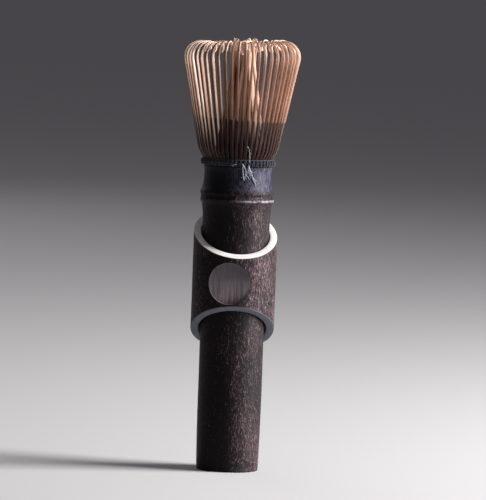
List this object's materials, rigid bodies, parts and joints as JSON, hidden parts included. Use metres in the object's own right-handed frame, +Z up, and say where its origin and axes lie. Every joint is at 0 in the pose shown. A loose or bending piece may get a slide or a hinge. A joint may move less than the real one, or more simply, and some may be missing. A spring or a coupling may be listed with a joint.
{
  "type": "bamboo tea whisk",
  "caption": "Long-handled smoked bamboo tea whisk with fine curled tines, a thread binding and a loose slant-cut bamboo collar.",
  "frame": {"origin": "centre of the handle's foot, on the surface it stands on", "axes": "+Z up along the handle to the tines; -Y towards the viewer, the side of the collar's round flat"},
  "size_m": [0.047, 0.047, 0.1733],
  "materials": {
    "smoked_culm": "smoked bamboo skin, low satin, mottled reddish brown",
    "smoked_collar": "smoked bamboo skin, satin, with raw cut ends",
    "outer_tine": "split bamboo, dry matte, dark skin near the root",
    "inner_tine": "split bamboo, dry matte",
    "thread": "twisted cotton thread, matte"
  },
  "bodies": {
    "culm": {"culm": "smoked_culm", "inner_tines": "inner_tine", "binding_thread": "thread", "thread_end": "thread"},
    "collar": {"collar": "smoked_collar"},
    "tine_01": {"tine_01": "outer_tine"},
    "tine_02": {"tine_02": "outer_tine"},
    "tine_03": {"tine_03": "outer_tine"},
    "tine_04": {"tine_04": "outer_tine"},
    "tine_05": {"tine_05": "outer_tine"},
    "tine_06": {"tine_06": "outer_tine"},
    "tine_07": {"tine_07": "outer_tine"},
    "tine_08": {"tine_08": "outer_tine"},
    "tine_09": {"tine_09": "outer_tine"},
    "tine_10": {"tine_10": "outer_tine"},
    "tine_11": {"tine_11": "outer_tine"},
    "tine_12": {"tine_12": "outer_tine"},
    "tine_13": {"tine_13": "outer_tine"},
    "tine_14": {"tine_14": "outer_tine"},
    "tine_15": {"tine_15": "outer_tine"},
    "tine_16": {"tine_16": "outer_tine"},
    "tine_17": {"tine_17": "outer_tine"},
    "tine_18": {"tine_18": "outer_tine"},
    "tine_19": {"tine_19": "outer_tine"},
    "tine_20": {"tine_20": "outer_tine"},
    "tine_21": {"tine_21": "outer_tine"},
    "tine_22": {"tine_22": "outer_tine"},
    "tine_23": {"tine_23": "outer_tine"},
    "tine_24": {"tine_24": "outer_tine"},
    "tine_25": {"tine_25": "outer_tine"},
    "tine_26": {"tine_26": "outer_tine"},
    "tine_27": {"tine_27": "outer_tine"},
    "tine_28": {"tine_28": "outer_tine"},
    "tine_29": {"tine_29": "outer_tine"},
    "tine_30": {"tine_30": "outer_tine"},
    "tine_31": {"tine_31": "outer_tine"},
    "tine_32": {"tine_32": "outer_tine"},
    "tine_33": {"tine_33": "outer_tine"},
    "tine_34": {"tine_34": "outer_tine"},
    "tine_35": {"tine_35": "outer_tine"},
    "tine_36": {"tine_36": "outer_tine"},
    "tine_37": {"tine_37": "outer_tine"},
    "tine_38": {"tine_38": "outer_tine"},
    "tine_39": {"tine_39": "outer_tine"},
    "tine_40": {"tine_40": "outer_tine"},
    "tine_41": {"tine_41": "outer_tine"},
    "tine_42": {"tine_42": "outer_tine"},
    "tine_43": {"tine_43": "outer_tine"},
    "tine_44": {"tine_44": "outer_tine"},
    "tine_45": {"tine_45": "outer_tine"},
    "tine_46": {"tine_46": "outer_tine"},
    "tine_47": {"tine_47": "outer_tine"},
    "tine_48": {"tine_48": "outer_tine"},
    "tine_49": {"tine_49": "outer_tine"},
    "tine_50": {"tine_50": "outer_tine"},
    "tine_51": {"tine_51": "outer_tine"},
    "tine_52": {"tine_52": "outer_tine"}
  },
  "joints": [
    {"name": "collar_slide", "type": "slide", "parent": "culm", "child": "collar", "axis": [0, 0, 1], "range_m": [-0.0463, 0]},
    {"name": "tine_01_flex", "type": "hinge", "parent": "culm", "child": "tine_01", "pos_m": [0.01318, 0.00076, 0.124], "axis": [-0.0576, 0.9983, 0], "range_deg": [-5, 4], "stiffness_Nm_per_rad": 0.002},
    {"name": "tine_02_flex", "type": "hinge", "parent": "culm", "child": "tine_02", "pos_m": [0.01298, 0.00241, 0.124], "axis": [-0.1823, 0.9832, 0], "range_deg": [-5, 4], "stiffness_Nm_per_rad": 0.002},
    {"name": "tine_03_flex", "type": "hinge", "parent": "culm", "child": "tine_03", "pos_m": [0.0126, 0.00393, 0.124], "axis": [-0.298, 0.9546, 0], "range_deg": [-5, 4], "stiffness_Nm_per_rad": 0.002},
    {"name": "tine_04_flex", "type": "hinge", "parent": "culm", "child": "tine_04", "pos_m": [0.01204, 0.00541, 0.124], "axis": [-0.4101, 0.9121, 0], "range_deg": [-5, 4], "stiffness_Nm_per_rad": 0.002},
    {"name": "tine_05_flex", "type": "hinge", "parent": "culm", "child": "tine_05", "pos_m": [0.01131, 0.00681, 0.124], "axis": [-0.5156, 0.8568, 0], "range_deg": [-5, 4], "stiffness_Nm_per_rad": 0.002},
    {"name": "tine_06_flex", "type": "hinge", "parent": "culm", "child": "tine_06", "pos_m": [0.01037, 0.00817, 0.124], "axis": [-0.6189, 0.7854, 0], "range_deg": [-5, 4], "stiffness_Nm_per_rad": 0.002},
    {"name": "tine_07_flex", "type": "hinge", "parent": "culm", "child": "tine_07", "pos_m": [0.00931, 0.00935, 0.124], "axis": [-0.7087, 0.7055, 0], "range_deg": [-5, 4], "stiffness_Nm_per_rad": 0.002},
    {"name": "tine_08_flex", "type": "hinge", "parent": "culm", "child": "tine_08", "pos_m": [0.00814, 0.01039, 0.124], "axis": [-0.7872, 0.6167, 0], "range_deg": [-5, 4], "stiffness_Nm_per_rad": 0.002},
    {"name": "tine_09_flex", "type": "hinge", "parent": "culm", "child": "tine_09", "pos_m": [0.00683, 0.0113, 0.124], "axis": [-0.8559, 0.5172, 0], "range_deg": [-5, 4], "stiffness_Nm_per_rad": 0.002},
    {"name": "tine_10_flex", "type": "hinge", "parent": "culm", "child": "tine_10", "pos_m": [0.00542, 0.01204, 0.124], "axis": [-0.912, 0.4102, 0], "range_deg": [-5, 4], "stiffness_Nm_per_rad": 0.002},
    {"name": "tine_11_flex", "type": "hinge", "parent": "culm", "child": "tine_11", "pos_m": [0.00398, 0.01259, 0.124], "axis": [-0.9535, 0.3015, 0], "range_deg": [-5, 4], "stiffness_Nm_per_rad": 0.002},
    {"name": "tine_12_flex", "type": "hinge", "parent": "culm", "child": "tine_12", "pos_m": [0.00237, 0.01299, 0.124], "axis": [-0.9838, 0.1795, 0], "range_deg": [-5, 4], "stiffness_Nm_per_rad": 0.002},
    {"name": "tine_13_flex", "type": "hinge", "parent": "culm", "child": "tine_13", "pos_m": [0.00078, 0.01318, 0.124], "axis": [-0.9982, 0.0594, 0], "range_deg": [-5, 4], "stiffness_Nm_per_rad": 0.002},
    {"name": "tine_14_flex", "type": "hinge", "parent": "culm", "child": "tine_14", "pos_m": [-0.00079, 0.01318, 0.124], "axis": [-0.9982, -0.0595, 0], "range_deg": [-5, 4], "stiffness_Nm_per_rad": 0.002},
    {"name": "tine_15_flex", "type": "hinge", "parent": "culm", "child": "tine_15", "pos_m": [-0.00242, 0.01298, 0.124], "axis": [-0.9831, -0.1833, 0], "range_deg": [-5, 4], "stiffness_Nm_per_rad": 0.002},
    {"name": "tine_16_flex", "type": "hinge", "parent": "culm", "child": "tine_16", "pos_m": [-0.00391, 0.01261, 0.124], "axis": [-0.9551, -0.2962, 0], "range_deg": [-5, 4], "stiffness_Nm_per_rad": 0.002},
    {"name": "tine_17_flex", "type": "hinge", "parent": "culm", "child": "tine_17", "pos_m": [-0.00541, 0.01204, 0.124], "axis": [-0.9122, -0.4098, 0], "range_deg": [-5, 4], "stiffness_Nm_per_rad": 0.002},
    {"name": "tine_18_flex", "type": "hinge", "parent": "culm", "child": "tine_18", "pos_m": [-0.0068, 0.01131, 0.124], "axis": [-0.857, -0.5154, 0], "range_deg": [-5, 4], "stiffness_Nm_per_rad": 0.002},
    {"name": "tine_19_flex", "type": "hinge", "parent": "culm", "child": "tine_19", "pos_m": [-0.00818, 0.01036, 0.124], "axis": [-0.7846, -0.6201, 0], "range_deg": [-5, 4], "stiffness_Nm_per_rad": 0.002},
    {"name": "tine_20_flex", "type": "hinge", "parent": "culm", "child": "tine_20", "pos_m": [-0.00935, 0.00932, 0.124], "axis": [-0.7058, -0.7084, 0], "range_deg": [-5, 4], "stiffness_Nm_per_rad": 0.002},
    {"name": "tine_21_flex", "type": "hinge", "parent": "culm", "child": "tine_21", "pos_m": [-0.01042, 0.00811, 0.124], "axis": [-0.6142, -0.7891, 0], "range_deg": [-5, 4], "stiffness_Nm_per_rad": 0.002},
    {"name": "tine_22_flex", "type": "hinge", "parent": "culm", "child": "tine_22", "pos_m": [-0.01132, 0.00679, 0.124], "axis": [-0.5147, -0.8574, 0], "range_deg": [-5, 4], "stiffness_Nm_per_rad": 0.002},
    {"name": "tine_23_flex", "type": "hinge", "parent": "culm", "child": "tine_23", "pos_m": [-0.01202, 0.00547, 0.124], "axis": [-0.414, -0.9103, 0], "range_deg": [-5, 4], "stiffness_Nm_per_rad": 0.002},
    {"name": "tine_24_flex", "type": "hinge", "parent": "culm", "child": "tine_24", "pos_m": [-0.01261, 0.00391, 0.124], "axis": [-0.2964, -0.9551, 0], "range_deg": [-5, 4], "stiffness_Nm_per_rad": 0.002},
    {"name": "tine_25_flex", "type": "hinge", "parent": "culm", "child": "tine_25", "pos_m": [-0.01299, 0.00233, 0.124], "axis": [-0.1765, -0.9843, 0], "range_deg": [-5, 4], "stiffness_Nm_per_rad": 0.002},
    {"name": "tine_26_flex", "type": "hinge", "parent": "culm", "child": "tine_26", "pos_m": [-0.01317, 0.00083, 0.124], "axis": [-0.0627, -0.998, 0], "range_deg": [-5, 4], "stiffness_Nm_per_rad": 0.002},
    {"name": "tine_27_flex", "type": "hinge", "parent": "culm", "child": "tine_27", "pos_m": [-0.01317, -0.00083, 0.124], "axis": [0.0627, -0.998, 0], "range_deg": [-5, 4], "stiffness_Nm_per_rad": 0.002},
    {"name": "tine_28_flex", "type": "hinge", "parent": "culm", "child": "tine_28", "pos_m": [-0.01299, -0.00234, 0.124], "axis": [0.1773, -0.9842, 0], "range_deg": [-5, 4], "stiffness_Nm_per_rad": 0.002},
    {"name": "tine_29_flex", "type": "hinge", "parent": "culm", "child": "tine_29", "pos_m": [-0.01259, -0.00397, 0.124], "axis": [0.3009, -0.9536, 0], "range_deg": [-5, 4], "stiffness_Nm_per_rad": 0.002},
    {"name": "tine_30_flex", "type": "hinge", "parent": "culm", "child": "tine_30", "pos_m": [-0.01205, -0.00538, 0.124], "axis": [0.4078, -0.913, 0], "range_deg": [-5, 4], "stiffness_Nm_per_rad": 0.002},
    {"name": "tine_31_flex", "type": "hinge", "parent": "culm", "child": "tine_31", "pos_m": [-0.01131, -0.00681, 0.124], "axis": [0.5162, -0.8565, 0], "range_deg": [-5, 4], "stiffness_Nm_per_rad": 0.002},
    {"name": "tine_32_flex", "type": "hinge", "parent": "culm", "child": "tine_32", "pos_m": [-0.01039, -0.00815, 0.124], "axis": [0.6172, -0.7868, 0], "range_deg": [-5, 4], "stiffness_Nm_per_rad": 0.002},
    {"name": "tine_33_flex", "type": "hinge", "parent": "culm", "child": "tine_33", "pos_m": [-0.00934, -0.00932, 0.124], "axis": [0.7063, -0.7079, 0], "range_deg": [-5, 4], "stiffness_Nm_per_rad": 0.002},
    {"name": "tine_34_flex", "type": "hinge", "parent": "culm", "child": "tine_34", "pos_m": [-0.00815, -0.01038, 0.124], "axis": [0.7867, -0.6174, 0], "range_deg": [-5, 4], "stiffness_Nm_per_rad": 0.002},
    {"name": "tine_35_flex", "type": "hinge", "parent": "culm", "child": "tine_35", "pos_m": [-0.00682, -0.0113, 0.124], "axis": [0.8561, -0.5168, 0], "range_deg": [-5, 4], "stiffness_Nm_per_rad": 0.002},
    {"name": "tine_36_flex", "type": "hinge", "parent": "culm", "child": "tine_36", "pos_m": [-0.00546, -0.01202, 0.124], "axis": [0.9105, -0.4135, 0], "range_deg": [-5, 4], "stiffness_Nm_per_rad": 0.002},
    {"name": "tine_37_flex", "type": "hinge", "parent": "culm", "child": "tine_37", "pos_m": [-0.00391, -0.01261, 0.124], "axis": [0.9551, -0.2963, 0], "range_deg": [-5, 4], "stiffness_Nm_per_rad": 0.002},
    {"name": "tine_38_flex", "type": "hinge", "parent": "culm", "child": "tine_38", "pos_m": [-0.00233, -0.01299, 0.124], "axis": [0.9843, -0.1763, 0], "range_deg": [-5, 4], "stiffness_Nm_per_rad": 0.002},
    {"name": "tine_39_flex", "type": "hinge", "parent": "culm", "child": "tine_39", "pos_m": [-0.00083, -0.01317, 0.124], "axis": [0.998, -0.0626, 0], "range_deg": [-5, 4], "stiffness_Nm_per_rad": 0.002},
    {"name": "tine_40_flex", "type": "hinge", "parent": "culm", "child": "tine_40", "pos_m": [0.00077, -0.01318, 0.124], "axis": [0.9983, 0.0583, 0], "range_deg": [-5, 4], "stiffness_Nm_per_rad": 0.002},
    {"name": "tine_41_flex", "type": "hinge", "parent": "culm", "child": "tine_41", "pos_m": [0.00241, -0.01298, 0.124], "axis": [0.9832, 0.1827, 0], "range_deg": [-5, 4], "stiffness_Nm_per_rad": 0.002},
    {"name": "tine_42_flex", "type": "hinge", "parent": "culm", "child": "tine_42", "pos_m": [0.00397, -0.01259, 0.124], "axis": [0.9538, 0.3005, 0], "range_deg": [-5, 4], "stiffness_Nm_per_rad": 0.002},
    {"name": "tine_43_flex", "type": "hinge", "parent": "culm", "child": "tine_43", "pos_m": [0.00543, -0.01203, 0.124], "axis": [0.9114, 0.4115, 0], "range_deg": [-5, 4], "stiffness_Nm_per_rad": 0.002},
    {"name": "tine_44_flex", "type": "hinge", "parent": "culm", "child": "tine_44", "pos_m": [0.00679, -0.01132, 0.124], "axis": [0.8577, 0.5142, 0], "range_deg": [-5, 4], "stiffness_Nm_per_rad": 0.002},
    {"name": "tine_45_flex", "type": "hinge", "parent": "culm", "child": "tine_45", "pos_m": [0.00814, -0.01039, 0.124], "axis": [0.7872, 0.6167, 0], "range_deg": [-5, 4], "stiffness_Nm_per_rad": 0.002},
    {"name": "tine_46_flex", "type": "hinge", "parent": "culm", "child": "tine_46", "pos_m": [0.00936, -0.00931, 0.124], "axis": [0.7052, 0.709, 0], "range_deg": [-5, 4], "stiffness_Nm_per_rad": 0.002},
    {"name": "tine_47_flex", "type": "hinge", "parent": "culm", "child": "tine_47", "pos_m": [0.01041, -0.00812, 0.124], "axis": [0.6151, 0.7885, 0], "range_deg": [-5, 4], "stiffness_Nm_per_rad": 0.002},
    {"name": "tine_48_flex", "type": "hinge", "parent": "culm", "child": "tine_48", "pos_m": [0.01127, -0.00687, 0.124], "axis": [0.5204, 0.8539, 0], "range_deg": [-5, 4], "stiffness_Nm_per_rad": 0.002},
    {"name": "tine_49_flex", "type": "hinge", "parent": "culm", "child": "tine_49", "pos_m": [0.01203, -0.00542, 0.124], "axis": [0.4109, 0.9117, 0], "range_deg": [-5, 4], "stiffness_Nm_per_rad": 0.002},
    {"name": "tine_50_flex", "type": "hinge", "parent": "culm", "child": "tine_50", "pos_m": [0.01262, -0.00387, 0.124], "axis": [0.2935, 0.956, 0], "range_deg": [-5, 4], "stiffness_Nm_per_rad": 0.002},
    {"name": "tine_51_flex", "type": "hinge", "parent": "culm", "child": "tine_51", "pos_m": [0.01299, -0.00233, 0.124], "axis": [0.1768, 0.9843, 0], "range_deg": [-5, 4], "stiffness_Nm_per_rad": 0.002},
    {"name": "tine_52_flex", "type": "hinge", "parent": "culm", "child": "tine_52", "pos_m": [0.01318, -0.0008, 0.124], "axis": [0.0605, 0.9982, 0], "range_deg": [-5, 4], "stiffness_Nm_per_rad": 0.002}
  ]
}
